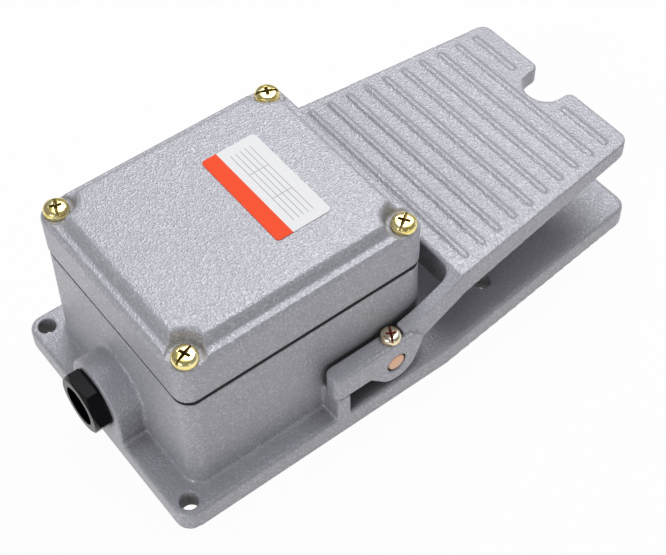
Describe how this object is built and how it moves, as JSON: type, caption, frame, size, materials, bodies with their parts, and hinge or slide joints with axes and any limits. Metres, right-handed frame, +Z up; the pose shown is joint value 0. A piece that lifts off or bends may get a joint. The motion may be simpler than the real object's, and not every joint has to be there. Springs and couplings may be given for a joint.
{
  "type": "industrial foot switch",
  "caption": "Cast foot switch: square switch box with screwed lid on a tapered base plate, and a ribbed, notched treadle hinged beside the box.",
  "frame": {"origin": "middle of the footprint on the floor, under the centre of the whole object's box", "axes": "+X from the cable gland to the treadle tip, +Y to the left seen from the gland, +Z up"},
  "size_m": [0.2214, 0.105, 0.0781],
  "materials": {
    "hammered_grey": "hammered grey enamel",
    "rubber_black": "matt",
    "zinc_yellow": "yellow passivated steel",
    "label": "printed film",
    "nylon_black": "satin",
    "shaft_steel": "coppery flash",
    "bronze": "sintered",
    "steel": "bright",
    "spring_steel": "bright",
    "contact_brass": "bright",
    "phenolic": "moulded",
    "white_plastic": "moulded"
  },
  "bodies": {
    "housing": {"base_casting": "hammered_grey", "lid": "hammered_grey", "lid_gasket": "rubber_black", "lid_screws": "zinc_yellow", "nameplate": "label", "gland_body": "nylon_black", "gland_washer": "rubber_black", "gland_grommet": "rubber_black", "shaft_bushes": "bronze", "shaft_seals": "rubber_black", "fixed_contacts": "contact_brass", "terminal_screws": "zinc_yellow", "block_base": "phenolic", "block_cover": "phenolic", "block_screws": "zinc_yellow", "switch_bracket": "steel", "bracket_screws": "zinc_yellow", "earth_screw": "zinc_yellow", "earth_washer": "contact_brass"},
    "treadle_group": {"treadle": "hammered_grey", "pivot_shaft": "shaft_steel", "clamp_screws": "zinc_yellow", "drive_lever": "steel", "lever_set_screw": "steel"},
    "push_rod_group": {"push_rod": "steel", "spring_seat": "steel", "return_spring": "spring_steel", "contact_carrier": "white_plastic", "bridge_contact": "contact_brass", "contact_spring": "spring_steel"}
  },
  "joints": [
    {"name": "treadle_pivot", "type": "hinge", "parent": "housing", "child": "treadle_group", "pos_m": [-0.01335, 0, 0.021], "axis": [0, 1, 0], "range_deg": [0, 10], "stiffness_Nm_per_rad": 12, "springref_deg": -6.88},
    {"name": "push_rod_slide", "type": "slide", "parent": "housing", "child": "push_rod_group", "axis": [0, 0, 1], "range_m": [0, 0.00542], "stiffness_N_per_m": 800, "springref_m": -0.004, "deforming": ["return_spring"]}
  ],
  "couplings": [
    {"joint": "push_rod_slide", "follows": "treadle_pivot", "m_per_rad": 0.03105}
  ]
}
